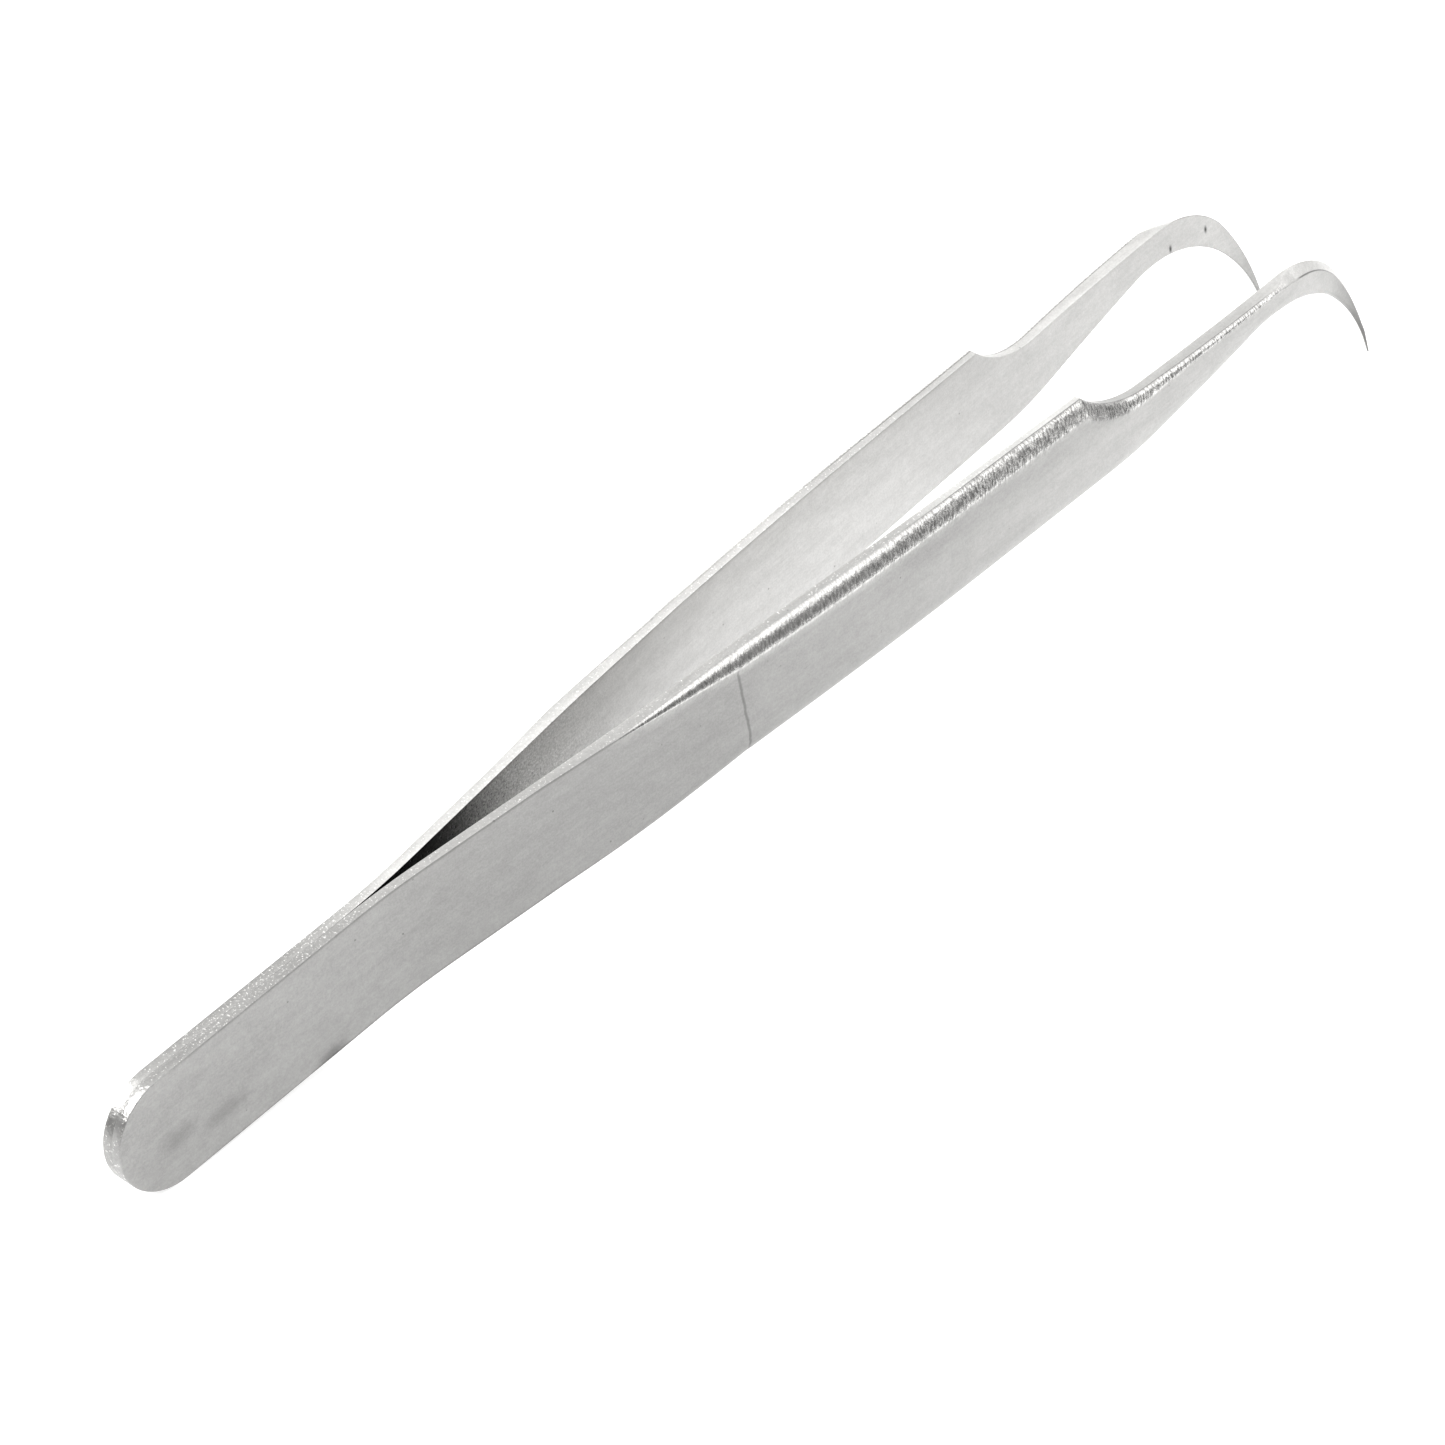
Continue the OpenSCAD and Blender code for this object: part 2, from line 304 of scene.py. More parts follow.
def upper_profile(x, full, width):
    rounds = [along(radius, x) for radius in (LIP_RADIUS, FLANK_RADIUS, FADE_RADIUS)]
    plain = rounded_profile(full, rounds, along(INNER_LIP, x))
    bevel = bevel_profile(full, min(along(HOOK_BEVEL, x), width * 0.35))
    return blend_profiles(plain, bevel, ramp(x, BEVEL_START, BEVEL_END))


def lower_profile(x, full, width):
    square = rounded_profile(full, [EDGE_FILLET] * 3, along(INNER_LIP, x))
    crown = crown_profile(full, min(along(LOWER_ACROSS, x), width * 0.55))
    return blend_profiles(square, crown, ramp(x, GRIND_X, CREASE_X))


# ---- The leaf mesh ----

# How polished each point of the upper edge's profile is, and how much it belongs to the flat strip
LIP_POLISH = [0, 0, 0, 0, 0.5, 0.9, 1, 1, 1, 1, 1, 1, 0.85, 0.6, 0.3]
FLAT_STRIP = [0, 1, 1, 1] + [0] * (PROFILE_POINTS - 4)


def edge_points(point, inward, profile):
    """An edge's profile as (x, z, outward distance), wrapped onto the bowed leaf."""
    full = profile[-1][1]
    rows = []
    for inset, height in profile:
        p = point + inward * inset
        rows.append((p.x, p.y, bow(p.x) + thickness(p.x) * height / full))
    return rows


def ring(station):
    """The closed section at a station: rows of (x, z, outward, polish, strip, inner)."""
    (top, top_in), (low, low_in) = station
    width = max((top - low).length, POINT_WIDTH)
    upper = edge_points(top, top_in, upper_profile(top.x, thickness(top.x), width))
    lower = edge_points(low, low_in, lower_profile(low.x, thickness(low.x), width))
    worn = ramp(top.x, 41, 45) * (1 - ramp(top.x, HOOK_X - 1.5, HOOK_X + 0.5))
    bevel = ramp(top.x, BEVEL_START, BEVEL_END)
    flat = FLAT_STRIP[:1] + [max(value, bevel) for value in FLAT_STRIP[1:-2]] + [bevel / 2, 0]
    rows = [(*p, LIP_POLISH[i] * worn, flat[i], 1.0 if i == 0 else 0.0)
            for i, p in enumerate(upper)]
    rows += face_points(upper[-1], lower[-1], 1.0)
    rows += [(*p, 0.0, FLAT_STRIP[PROFILE_POINTS - 1 - i], 1.0 if i == PROFILE_POINTS - 1 else 0.0)
             for i, p in enumerate(reversed(lower))]
    rows += face_points(lower[0], upper[0], 0.0)
    return rows


def face_points(start, end, out):
    """Points across the outer face (out is 1) or the inner face (out is 0).

    The inner face also has a point close to each edge, which keeps its shading flat.
    """
    rows = []
    places = [i / (FACE_POINTS + 1) for i in range(1, FACE_POINTS + 1)]
    if not out:
        across = math.hypot(start[0] - end[0], start[1] - end[1])
        near = min(SUPPORT_INSET / max(across, 0.5), 0.05)
        places = [near] + places + [1 - near]
    for w in places:
        x, z = mix(start[0], end[0], w), mix(start[1], end[1], w)
        rows.append((x, z, bow(x) + thickness(x) * out, 0.0, 0.0, 1.0 - out))
    return rows


# The lie: turned about Y until the heel's round end and the needle points touch the ground
REACH = Vector((LEAF_LENGTH - POINT_WIDTH - HALF_WIDTH, POINT_DROP))
LIE_ANGLE = math.atan2(REACH.y, REACH.x) - math.asin(HALF_WIDTH / REACH.length)
GROUND_LIFT = HALF_WIDTH - HALF_WIDTH * math.sin(LIE_ANGLE)
HEEL_END_X = HALF_WIDTH * math.cos(LIE_ANGLE) - HALF_WIDTH
POINT_END_X = LEAF_LENGTH * math.cos(LIE_ANGLE) + POINT_DROP * math.sin(LIE_ANGLE)
LIE_SHIFT = -(HEEL_END_X + POINT_END_X) / 2


def lie(x, y, z):
    """A leaf-frame point in millimetres, laid on the ground, in metres."""
    c, s = math.cos(LIE_ANGLE), math.sin(LIE_ANGLE)
    return Vector((x * c - z * s + LIE_SHIFT, y, x * s + z * c + GROUND_LIFT)) * MM


def add_attribute(mesh, name, values):
    layer = mesh.attributes.new(name, "FLOAT", "POINT")
    layer.data.foreach_set("value", np.array(values, np.float32))


def merge_heel_end(mesh):
    """Closes the round heel end, where the first section has folded flat."""
    bm = bmesh.new()
    bm.from_mesh(mesh)
    bmesh.ops.remove_doubles(bm, verts=bm.verts, dist=MERGE_DISTANCE * MM)
    bmesh.ops.dissolve_degenerate(bm, edges=bm.edges, dist=SHORTEST_EDGE * MM)
    bmesh.ops.recalc_face_normals(bm, faces=bm.faces)
    bm.to_mesh(mesh)
    bm.free()


def make_leaf(name, side):
    """side is -1 for the front leaf and 1 for the back leaf."""
    rings = [ring(station) for station in leaf_stations()]
    size = len(rings[0])
    rows = [row for one in rings for row in one]
    faces = []
    for i in range(len(rings) - 1):
        for j in range(size):
            k = (j + 1) % size
            faces.append((i * size + j, i * size + k, (i + 1) * size + k, (i + 1) * size + j))
    last = (len(rings) - 1) * size
    faces.append(tuple(last + j for j in range(size)))
    mesh = bpy.data.meshes.new(name)
    mesh.from_pydata([lie(x, y * side, z) for x, z, y, *_ in rows], [], faces)
    for index, attribute in ((0, "along"), (1, "height"), (3, "polish"), (4, "strip"), (5, "inner")):
        add_attribute(mesh, attribute, [row[index] for row in rows])
    add_attribute(mesh, "outward", [row[2] * side for row in rows])
    merge_heel_end(mesh)
    mesh.shade_smooth()
    mesh.set_sharp_from_angle(angle=SHARP_ANGLE)
    leaf = bpy.data.objects.new(name, mesh)
    bpy.context.scene.collection.objects.link(leaf)
    return leaf


# ---- Materials ----

class Nodes:
    """Short calls for building one node tree."""

    def __init__(self, tree):
        self.tree = tree

    def new(self, kind, **settings):
        node = self.tree.nodes.new(kind)
        for key, value in settings.items():
            setattr(node, key, value)
        return node

    def put(self, value, socket):
        if isinstance(value, bpy.types.NodeSocket):
            self.tree.links.new(value, socket)
        else:
            socket.default_value = value

    def math(self, operation, a, b=0.0):
        node = self.new("ShaderNodeMath", operation=operation)
        self.put(a, node.inputs[0])
        self.put(b, node.inputs[1])
        return node.outputs[0]

    def attribute(self, name):
        return self.new("ShaderNodeAttribute", attribute_name=name).outputs["Fac"]

    def vector(self, x, y, z):
        node = self.new("ShaderNodeCombineXYZ")
        for value, socket in zip((x, y, z), node.inputs):
            self.put(value, socket)
        return node.outputs[0]

    def smooth(self, value, low, high, start=0.0, end=1.0):
        """A smooth step of value from low to high, giving start to end."""
        node = self.new("ShaderNodeMapRange", interpolation_type="SMOOTHSTEP")
        for item, socket in zip((value, low, high, start, end), node.inputs):
            self.put(item, socket)
        return node.outputs[0]

    def band(self, value, zone):
        """1 inside a zone, given as where it starts, is full, starts to fade and ends."""
        start, full, fade, end = zone
        return self.math("MULTIPLY", self.smooth(value, start, full),
                         self.smooth(value, fade, end, 1.0, 0.0))

    def noise(self, vector, scale, detail=2.0, roughness=0.5):
        node = self.new("ShaderNodeTexNoise")
        self.put(vector, node.inputs["Vector"])
        for key, value in (("Scale", scale), ("Detail", detail), ("Roughness", roughness)):
            self.put(value, node.inputs[key])
        return node.outputs["Fac"]

    def cells(self, vector, scale):
        """Distance to the nearest cell centre."""
        node = self.new("ShaderNodeTexVoronoi")
        self.put(vector, node.inputs["Vector"])
        self.put(scale, node.inputs["Scale"])
        return node.outputs["Distance"]

    def blend(self, a, b, w):
        """A number between a and b."""
        return self.math("ADD", self.math("MULTIPLY", a, self.math("SUBTRACT", 1.0, w)),
                         self.math("MULTIPLY", b, w))

    def tint(self, level, colour):
        """A colour scaled by a number."""
        node = self.new("ShaderNodeVectorMath", operation="SCALE")
        node.inputs[0].default_value = colour
        self.put(level, node.inputs["Scale"])
        return node.outputs[0]

    def toward(self, direction, side):
        """How far a direction points to one side."""
        node = self.new("ShaderNodeVectorMath", operation="DOT_PRODUCT")
        self.put(direction, node.inputs[0])
        node.inputs[1].default_value = side
        return node.outputs["Value"]

    def spot(self, x, z, px, pz, radius):
        """1 at a place on the leaf, falling smoothly to 0 at radius."""
        dx = self.math("SUBTRACT", x, px)
        dz = self.math("SUBTRACT", z, pz)
        squared = self.math("ADD", self.math("MULTIPLY", dx, dx), self.math("MULTIPLY", dz, dz))
        return self.smooth(self.math("SQRT", squared), 0.0, radius, 1.0, 0.0)


STEEL_TINT = (1.0, 0.995, 0.982)
# How bright the steel is: outer face at the heel and at the hook, and inner face; their differences are
# painted light and shade
HEEL_LEVEL, HOOK_LEVEL = 0.35, 0.44
INNER_LEVEL, INNER_NECK_LEVEL = 0.59, 0.47
# The polished corner with its painted sheen, the hollow of the notch painted dark as shade, and the
# flat edges of the heel, front and back leaf painted at the brightness of their reflections
POLISH_LEVEL, HOLLOW_LEVEL = 0.58, 0.3
HEEL_STRIP, FRONT_STRIP, GRIP_STRIP = 0.33, 0.42, 0.72
NECK_STRIP, HOOK_STRIP, BACK_STRIP = 0.45, 0.55, 0.58
# Zones along the leaf: where each starts, is full, starts to fade and ends
HOLLOW_ZONE = (84.9, 85.3, 87.5, 90.5)
# The grip shade, rim and spring zones place painted shade
GRIP_SHADE_ZONE = (62.0, 70.0, 86.0, 92.0)
RIM_ZONE = (4.0, 8.0, 80.0, 84.0)
SPRING_ZONE = (20.0, 28.0, 50.0, 56.0)
DENSE_GLINT_ZONE = (4.0, 8.0, 16.0, 30.0)
# Where the painted dark reflection line runs along the edge
DARK_LINE_ZONE = (66.0, 73.0, 102.5, 104.0)
# Dark spots on the outer faces: place along the leaf, height, length and radius
REAR_SMUDGE = (4.4, -0.9, 2.2, 1.3)
FRONT_SMUDGE = (8.0, -1.7, 3.2, 1.1)
EDGE_STAIN = (16.6, -4.1, 2.2, 1.1)
# Nicks on the inner face of the back leaf's hook: place along the leaf and height
FIRST_NICK = (106.3, -1.4)
SECOND_NICK = (110.0, -2.0)
NICK_RADIUS, NICK_NARROWING = 0.5, 2.2


def new_material(name):
    material = bpy.data.materials.new(name)
    material.use_nodes = True
    material.node_tree.nodes.clear()
    n = Nodes(material.node_tree)
    shader = n.new("ShaderNodeBsdfPrincipled")
    shader.inputs["Metallic"].default_value = 1.0
    out = n.new("ShaderNodeOutputMaterial")
    n.put(shader.outputs[0], out.inputs["Surface"])
    return material, n, shader


def long_spot(n, x, z, px, pz, length, radius):
    """A spot stretched along the leaf."""
    stretch = radius / length
    return n.spot(n.math("MULTIPLY", x, stretch), z, px * stretch, pz, radius)


def crease_line(n, x, z):
    """1 on the line where the grip steps up, which wobbles slightly across the leaf: the place of a
    painted shade line.
    """
    wobble = n.math("MULTIPLY", n.noise(n.vector(0.0, z, 0.0), 1.3), 0.25)
    off = n.math("SUBTRACT", n.math("ADD", x, wobble), CREASE_X + 0.12)
    return n.smooth(n.math("ABSOLUTE", off), 0.03, 0.16, 1.0, 0.0)


def hook_nicks(n, x, z, y):
    """Two short dark nicks on the inner face of the back leaf's hook."""
    narrow = n.math("MULTIPLY", x, NICK_NARROWING)
    first, second = [n.spot(narrow, z, NICK_NARROWING * px, pz, NICK_RADIUS)
                     for px, pz in (FIRST_NICK, SECOND_NICK)]
    return n.math("MULTIPLY", n.math("MAXIMUM", first, second), n.math("GREATER_THAN", y, 0.0))


def marks_and_shade(n, x, z, y, strip, polish, outer, inner):
    """Darkening by smudges, stains and nicks, and by painted shade in the crease, on the grip's upper
    half, along the face's rims, over the spring, over the hook and needle, and in the gap between the
    leaves, as a factor near 1.
    """
    smudge = n.math("MAXIMUM", long_spot(n, x, z, *REAR_SMUDGE), long_spot(n, x, z, *FRONT_SMUDGE))
    plain = n.math("SUBTRACT", 1.0, n.math("MAXIMUM", strip, polish))
    grip = n.band(x, GRIP_SHADE_ZONE)
    rim = n.math("MULTIPLY", n.band(x, RIM_ZONE), plain)
    spring = n.band(x, SPRING_ZONE)
    # Real smudges and stain, and painted shade: a dark line in the crease, the upper half of the grip
    # face, a dark line along the face's rims, a slight shade over the spring, and darker hook and
    # needle
    darkening = [(smudge, 0.22), (long_spot(n, x, z, *EDGE_STAIN), 0.45),
             (n.math("MULTIPLY", crease_line(n, x, z), plain), 0.34),
             (n.math("MULTIPLY", grip, n.smooth(z, -0.5, 2.0)), 0.13),
             (n.math("MULTIPLY", rim, n.smooth(n.math("ABSOLUTE", z), 3.98, 4.14)), 0.22),
             (n.math("MULTIPLY", spring, plain), 0.08), (n.smooth(x, 112.0, LEAF_LENGTH), 0.3),
             (n.math("MULTIPLY", n.smooth(x, 108.5, 113.5), plain), 0.38)]
    outside = 0.0
    for mark, strength in darkening:
        outside = n.math("ADD", outside, n.math("MULTIPLY", mark, strength))
    # Painted shade on the inner faces: dark in the gap between the leaves by the weld, fading along the
    # spring, and darker towards the needle
    inner_shade = n.math("ADD", n.smooth(x, WELD_LENGTH + 7.5, 38.0, 0.74, 0.0),
                  n.smooth(x, 37.0, CREASE_X + 6, 0.18, 0.0))
    inner_shade = n.math("ADD", inner_shade, n.smooth(x, 111.0, LEAF_LENGTH, 0.0, 0.3))
    inside = n.math("ADD", inner_shade, n.math("MULTIPLY", hook_nicks(n, x, z, y), 0.9))
    return n.math("SUBTRACT", 1.0, n.math("ADD", n.math("MULTIPLY", outside, outer),
                                          n.math("MULTIPLY", inside, inner)))


def strip_level(n, x, y):
    """The flat edges, painted at the brightness of their reflections: grey round the heel, brighter
    along the arms, brightest on the back leaf.
    """
    front = n.smooth(x, 66.0, 74.0, FRONT_STRIP, GRIP_STRIP)
    front = n.blend(front, NECK_STRIP, n.smooth(x, NOTCH_X, NOTCH_X + 4))
    arm = n.blend(front, BACK_STRIP, n.math("GREATER_THAN", y, 0.0))
    arm = n.blend(arm, HOOK_STRIP, n.smooth(x, HOOK_X - 4, HOOK_X))
    return n.blend(HEEL_STRIP, arm, n.smooth(x, 16.0, 27.0))


def dark_edge_line(n, x, strip, polish):
    """1 on the thin dark line, a painted dark reflection, between the edge and the polished corner, and
    along the hook.
    """
    across = n.math("MULTIPLY", n.math("MULTIPLY", strip, n.math("SUBTRACT", 1.0, strip)), 4.0)
    grip = n.math("MULTIPLY", n.smooth(polish, 0.03, 0.15), n.band(x, DARK_LINE_ZONE))
    place = n.math("MAXIMUM", grip, n.smooth(x, HOOK_X + 1.1, HOOK_X + 1.8))
    return n.math("MULTIPLY", n.smooth(across, 0.3, 0.9), place)


def pitting(n, place, near_weld):
    """0 in pits, 1 elsewhere; sparse on the faces, dense on the inner face by the weld."""
    size = n.blend(0.08, 0.3, near_weld)
    fine = n.smooth(n.cells(place, 2.6), n.math("MULTIPLY", size, 0.5), size)
    fine = n.blend(1.0, fine, n.math("MAXIMUM", near_weld, 0.3))
    coarse = n.smooth(n.cells(place, 0.8), 0.03, 0.08)
    coarse = n.blend(1.0, coarse, n.smooth(n.noise(place, 0.45), 0.5, 0.6))
    return n.math("MINIMUM", fine, coarse)


def scaled(n, x, z, y, fx, fz, fy, skew=0.0):
    """The leaf's own coordinates, stretched, and skewed so that lines lean along it."""
    along_leaf = n.math("ADD", n.math("MULTIPLY", x, fx), n.math("MULTIPLY", z, skew))
    return n.vector(along_leaf, n.math("MULTIPLY", z, fz), n.math("MULTIPLY", y, fy))


class Surface:
    """The leaf's attributes and the noise patterns that its colour, gloss and relief share."""

    def __init__(self, n):
        self.x, self.z = n.attribute("along"), n.attribute("height")
        self.y = n.attribute("outward")
        self.polish, self.strip = n.attribute("polish"), n.attribute("strip")
        self.inner = n.attribute("inner")
        self.outer = n.math("SUBTRACT", 1.0, self.inner)
        self.place = n.vector(self.x, self.z, self.y)
        self.near_weld = n.math("MULTIPLY", self.inner, n.smooth(self.x, 27.0, 50.0, 1.0, 0.0))
        self.streaks = self.pattern(n, (0.16, 4.0, 2.0), 4.0, 0.6)
        self.mottle = self.pattern(n, (0.35, 0.8, 0.8), 4.0, 0.65)
        self.rubs = self.pattern(n, (7.5, 2.0, 2.0, 3.2), 3.0, 0.7)
        self.counter = self.pattern(n, (6.5, 2.6, 2.6, -3.4), 3.0, 0.7)
        self.specks = self.pattern(n, (6.0, 5.0, 5.0), 2.0, 0.7)
        self.grain = n.noise(self.place, 7.0, 3.0, 0.7)
        self.leather = n.noise(self.place, 2.0, 3.0, 0.6)
        self.pits = pitting(n, self.place, self.near_weld)

    def pattern(self, n, stretch, detail, roughness):
        return n.noise(scaled(n, self.x, self.z, self.y, *stretch), 1.0, detail, roughness)


def polished_sheen_level(n, f):
    """The rounded corner, with a painted sheen brighter than the faces and painted glints and dark
    spots that grow towards the notch, and its hollow, painted dark as shade.
    """
    glint_flecks = n.smooth(f.counter, 0.36, 0.64, n.smooth(f.x, 58.0, 76.0, 0.78, 0.5),
                      n.smooth(f.x, 58.0, 76.0, 1.2, 1.45))
    level = n.blend(POLISH_LEVEL, HOLLOW_LEVEL, n.band(f.x, HOLLOW_ZONE))
    return n.math("MULTIPLY", level, glint_flecks)


def clean_level(n, f):
    """How bright the steel is before wear: faces, polished corner and flat edges, all with painted
    light and shade; the outer face is painted lighter towards the hook and low down.
    """
    outside = n.smooth(f.x, CREASE_X, NOTCH_X, HEEL_LEVEL, HOOK_LEVEL)
    # Painted light: the outer face lighter low down and darker high up
    outside = n.math("MULTIPLY", outside, n.smooth(f.z, -4.2, 1.0, 1.06, 0.97))
    inside = n.smooth(f.x, 70.0, 90.0, INNER_LEVEL, INNER_NECK_LEVEL)
    level = n.blend(n.blend(outside, inside, f.inner), polished_sheen_level(n, f), f.polish)
    return n.blend(level, strip_level(n, f.x, f.y), f.strip)


def grit(n, f):
    """Coarse speckle on the inner face near the weld, as a factor near 1."""
    speckle = n.math("MULTIPLY", n.math("SUBTRACT", f.grain, 0.5), n.math("MULTIPLY", f.near_weld, 3.0))
    return n.math("MAXIMUM", n.math("ADD", 1.0, speckle), 0.2)


def glints(n, f):
    """Painted glints: white specks on the flat edges, densest along the welded heel."""
    dense = n.band(f.x, DENSE_GLINT_ZONE)
    glint = n.smooth(f.specks, n.blend(0.6, 0.565, dense), n.blend(0.7, 0.67, dense))
    return n.math("MULTIPLY", n.math("MULTIPLY", glint, f.strip), n.smooth(f.x, 70.0, 90.0, 1.0, 0.0))


def steel_level(n, f):
    """The steel's brightness with all its wear, its painted shade and its painted glints."""
    scratches = n.smooth(n.cells(scaled(n, f.x, f.z, f.y, 0.22, 2.4, 2.4, 0.35), 0.5), 0.03, 0.08)
    level = clean_level(n, f)
    for factor in (n.smooth(f.streaks, 0.3, 0.7, 0.96, 1.04),
                   n.smooth(f.mottle, 0.3, 0.7, 0.955, 1.045),
                   n.smooth(f.leather, 0.3, 0.7, 0.97, 1.03),
                   grit(n, f),
                   n.smooth(f.grain, 0.3, 0.7, 0.93, 1.07),
                   n.blend(n.blend(0.6, 0.25, f.near_weld), 1.0, f.pits),
                   n.blend(0.88, 1.0, scratches),
                   # Real marks with painted shade, then the painted dark line on the edge
                   marks_and_shade(n, f.x, f.z, f.y, f.strip, f.polish, f.outer, f.inner),
                   n.blend(1.0, 0.45, dark_edge_line(n, f.x, f.strip, f.polish))):
        level = n.math("MULTIPLY", level, factor)
    # Painted glints added on the flat edges
    return n.math("ADD", level, n.math("MULTIPLY", glints(n, f), 0.5))


def steel_roughness(n, f):
    rough = n.smooth(f.streaks, 0.25, 0.75, 0.34, 0.44)
    rough = n.blend(rough, n.smooth(f.rubs, 0.3, 0.7, 0.13, 0.26), f.polish)
    return n.blend(rough, 0.3, n.math("MULTIPLY", f.strip, 0.7))


def steel_relief(n, f):
    """Height in millimetres: satin grain, rubbed polish, specks on the edges, and pits."""
    satin = n.math("MULTIPLY", n.math("ADD", f.streaks, f.grain), 0.004)
    rubbed = n.math("MULTIPLY", n.math("ADD", f.rubs, n.math("MULTIPLY", f.counter, 0.6)),
                    n.smooth(f.x, 54.0, 86.0, 0.022, 0.06))
    relief = n.blend(n.blend(satin, n.math("MULTIPLY", f.specks, 0.03), f.strip), rubbed, f.polish)
    return n.math("ADD", relief, n.math("MULTIPLY", f.pits, 0.02))


def add_bump(n, shader, height, distance):
    bump = n.new("ShaderNodeBump")
    bump.inputs["Strength"].default_value = 1.0
    bump.inputs["Distance"].default_value = distance
    n.put(height, bump.inputs["Height"])
    n.put(bump.outputs[0], shader.inputs["Normal"])


def steel_material():
    """Satin stainless steel: lengthwise streaks, mottling, pits, and polished rounded corners."""
    material, n, shader = new_material("satin_steel")
    surface = Surface(n)
    n.put(n.tint(steel_level(n, surface), STEEL_TINT), shader.inputs["Base Color"])
    n.put(steel_roughness(n, surface), shader.inputs["Roughness"])
    add_bump(n, shader, steel_relief(n, surface), MM)
    return material


def weld_material():
    """The fused discs between the leaves: dull, rippled and heat-stained."""
    material, n, shader = new_material("weld_steel")
    place = n.new("ShaderNodeTexCoord").outputs["Object"]
    ripple = n.noise(place, 900.0, 4.0, 0.6)
    heat = n.noise(place, 300.0, 2.0, 0.5)
    n.put(n.tint(n.smooth(heat, 0.3, 0.7, 0.3, 0.5), (1.0, 0.94, 0.86)), shader.inputs["Base Color"])
    n.put(n.smooth(ripple, 0.3, 0.7, 0.4, 0.65), shader.inputs["Roughness"])
    add_bump(n, shader, ripple, 0.02 * MM)
    return material


FLOOR_GLOW = 0.68


def floor_material():
    """Plain white studio floor that glows, so that shadows stay faint."""
    material = bpy.data.materials.new("studio_floor")
    material.use_nodes = True
    n = Nodes(material.node_tree)
    shader = n.tree.nodes["Principled BSDF"]
    place = n.new("ShaderNodeTexCoord").outputs["Object"]
    tone = n.smooth(n.noise(place, 40.0, 3.0, 0.5), 0.3, 0.7, 0.49, 0.51)
    n.put(n.tint(tone, (1.0, 1.0, 1.0)), shader.inputs["Base Color"])
    shader.inputs["Roughness"].default_value = 0.9
    shader.inputs["Specular IOR Level"].default_value = 0.0
    shader.inputs["Emission Color"].default_value = (1.0, 1.0, 1.0, 1.0)
    shader.inputs["Emission Strength"].default_value = FLOOR_GLOW
    return material


# ---- Stage ----

def make_floor():
    radius, sides = 5.0, 64
    rim = [(radius * math.cos(i * math.tau / sides), radius * math.sin(i * math.tau / sides), 0.0)
           for i in range(sides)]
    mesh = bpy.data.meshes.new("studio_floor")
    mesh.from_pydata(rim, [], [tuple(range(sides))])
    floor = bpy.data.objects.new("studio_floor", mesh)
    bpy.context.scene.collection.objects.link(floor)
    mesh.materials.append(floor_material())


# Brightness of the studio by direction: the light wall, low and high, the ceiling, the dark walls
# on most sides, and the wall beyond the tips
WALL_LOW, WALL_HIGH = 1.7, 1.15
CEILING = 1.85
DARK_WALL, SIDE_WALL = 0.3, 1.15
# A small white card, seen in the heel's round end
CARD_SIDE = Vector((-0.42, 0.59, 0.69))
CARD_LIGHT = 14.0
# The light wall stands on this side of the object, beyond the back leaf
WALL_SIDE = Vector((0.45, 0.89, 0.0))
# Edges of the parts of the studio, each fading from the first number to the second. The light wall
# and the card go by how near a direction is to their side, the tips' wall by its x, the rest by its z
WALL_EDGE = (0.55, 0.85)
CARD_EDGE = (0.962, 0.985)
TIPS_WALL_EDGE = (0.66, 0.84)
CEILING_EDGE = (0.49, 0.57)
OVERHEAD_EDGE = (0.72, 0.85)
WALL_FADE = (0.3, 0.6)


def make_studio():
    """A soft studio: a light wall beyond the back leaf, a bright ceiling and darker other walls."""
    world = bpy.data.worlds.new("studio")
    bpy.context.scene.world = world
    world.use_nodes = True
    n = Nodes(world.node_tree)
    n.tree.nodes.clear()
    direction = n.new("ShaderNodeTexCoord").outputs["Generated"]
    split = n.new("ShaderNodeSeparateXYZ")
    n.put(direction, split.inputs[0])
    x, y, z = split.outputs
    flat = n.math("SQRT", n.math("ADD", n.math("MULTIPLY", x, x), n.math("MULTIPLY", y, y)))
    wall = n.math("DIVIDE", n.toward(direction, WALL_SIDE), n.math("MAXIMUM", flat, 0.01))
    wall = n.smooth(wall, *WALL_EDGE)
    card = n.smooth(n.toward(direction, CARD_SIDE), *CARD_EDGE)
    ceiling = n.smooth(z, *CEILING_EDGE)
    overhead = n.smooth(z, *OVERHEAD_EDGE)
    wall_light = n.blend(WALL_LOW, WALL_HIGH, n.smooth(z, *WALL_FADE))
    sides = n.blend(n.smooth(x, *TIPS_WALL_EDGE, DARK_WALL, SIDE_WALL), CEILING, ceiling)
    level = n.blend(n.blend(sides, wall_light, wall), CEILING, overhead)
    level = n.blend(level, CARD_LIGHT, card)
    background = n.new("ShaderNodeBackground")
    n.put(n.tint(level, (1.0, 0.995, 0.985)), background.inputs["Color"])
    output = n.new("ShaderNodeOutputWorld")
    n.put(background.outputs[0], output.inputs["Surface"])


# Where the key light stands and points, in metres
KEY_PLACE = Vector((0.45, -0.25, 0.6))
KEY_TARGET = Vector((0.03, 0.0, 0.0))


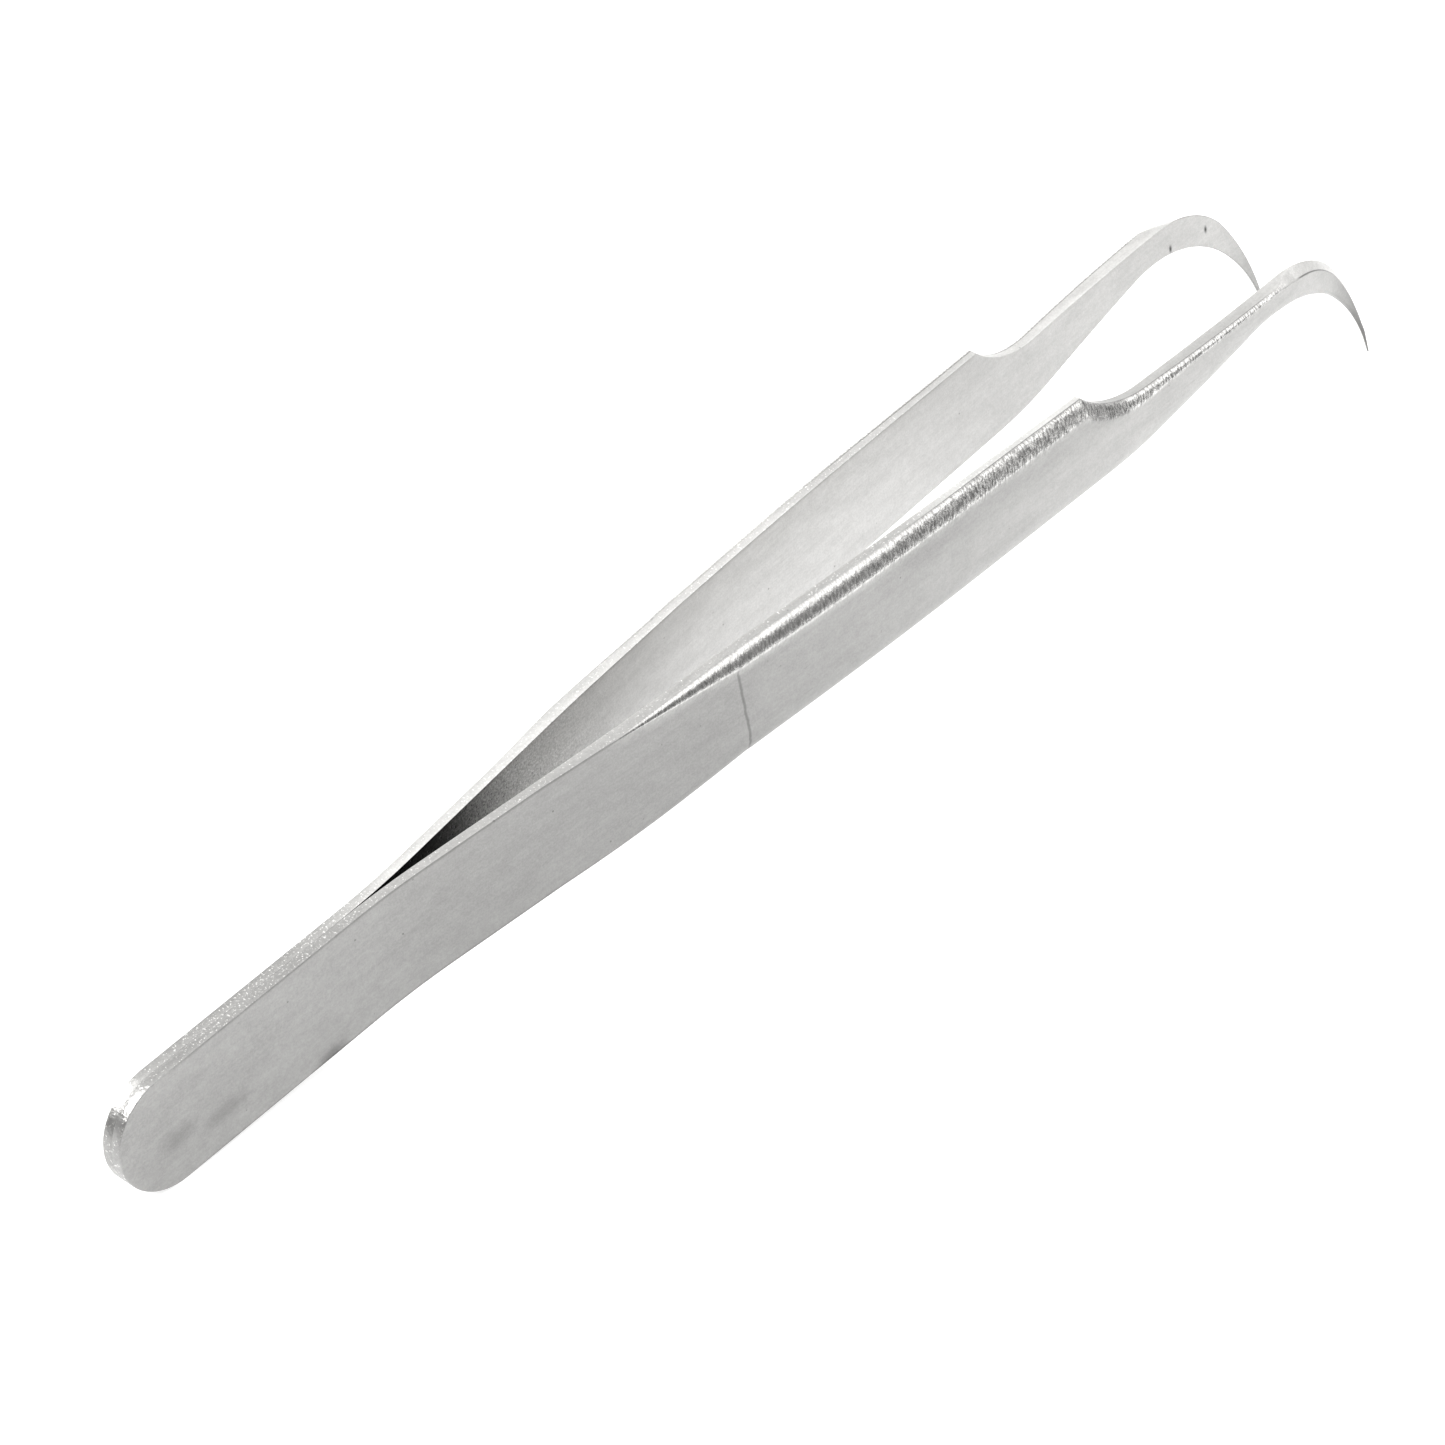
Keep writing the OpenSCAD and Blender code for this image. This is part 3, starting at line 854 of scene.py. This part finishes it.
def make_key_light():
    """A faint, wide light from above and beyond the tips, on the front leaf's side."""
    data = bpy.data.lights.new("softbox", "AREA")
    data.shape = "DISK"
    data.size = 0.5
    data.energy = 0.25
    light = bpy.data.objects.new("softbox", data)
    light.location = KEY_PLACE
    light.rotation_euler = (KEY_TARGET - KEY_PLACE).to_track_quat("-Z", "Y").to_euler()
    bpy.context.scene.collection.objects.link(light)


# Where the camera looks, from where, and how it is turned
CAMERA_TARGET = Vector((-6.10, -1.95, 5.62)) * MM
CAMERA_DISTANCE = 333.16 * MM
CAMERA_AZIMUTH = math.radians(41.466)
CAMERA_DOWN = math.radians(37.951)
CAMERA_ROLL = math.radians(-7.769)
CAMERA_LENS = 127.31


def make_camera():
    """The camera stands above the heel end, on the front leaf's side, and looks towards the tips."""
    flat = Vector((math.sin(CAMERA_AZIMUTH), math.cos(CAMERA_AZIMUTH), 0.0))
    forward = flat * math.cos(CAMERA_DOWN) - Vector((0, 0, 1)) * math.sin(CAMERA_DOWN)
    right = Vector((flat.y, -flat.x, 0.0))
    up = right.cross(forward)
    turned_right = right * math.cos(CAMERA_ROLL) + up * math.sin(CAMERA_ROLL)
    turned_up = up * math.cos(CAMERA_ROLL) - right * math.sin(CAMERA_ROLL)
    data = bpy.data.cameras.new("camera")
    data.lens = CAMERA_LENS
    data.sensor_width = 36.0
    data.clip_start, data.clip_end = 0.01, 20.0
    camera = bpy.data.objects.new("camera", data)
    turn = Matrix((turned_right, turned_up, -forward)).transposed().to_4x4()
    camera.matrix_world = Matrix.Translation(CAMERA_TARGET - forward * CAMERA_DISTANCE) @ turn
    bpy.context.scene.collection.objects.link(camera)
    bpy.context.scene.camera = camera


# ---- Assembly ----

def fit_leaf(name, side, steel):
    leaf = make_leaf(name, side)
    leaf.data.materials.append(steel)
    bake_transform(leaf)
    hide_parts(name + "_heel", name + "_arm")


def dress_welds():
    weld = weld_material()
    for name in ("rear_spot_weld", "front_spot_weld"):
        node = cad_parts[name]
        node.data.materials.clear()
        node.data.materials.append(weld)


def main():
    bpy.context.scene.view_settings.view_transform = "Standard"
    steel = steel_material()
    fit_leaf("front_leaf", -1, steel)
    fit_leaf("back_leaf", 1, steel)
    dress_welds()
    make_floor()
    make_studio()
    make_key_light()
    make_camera()


main()
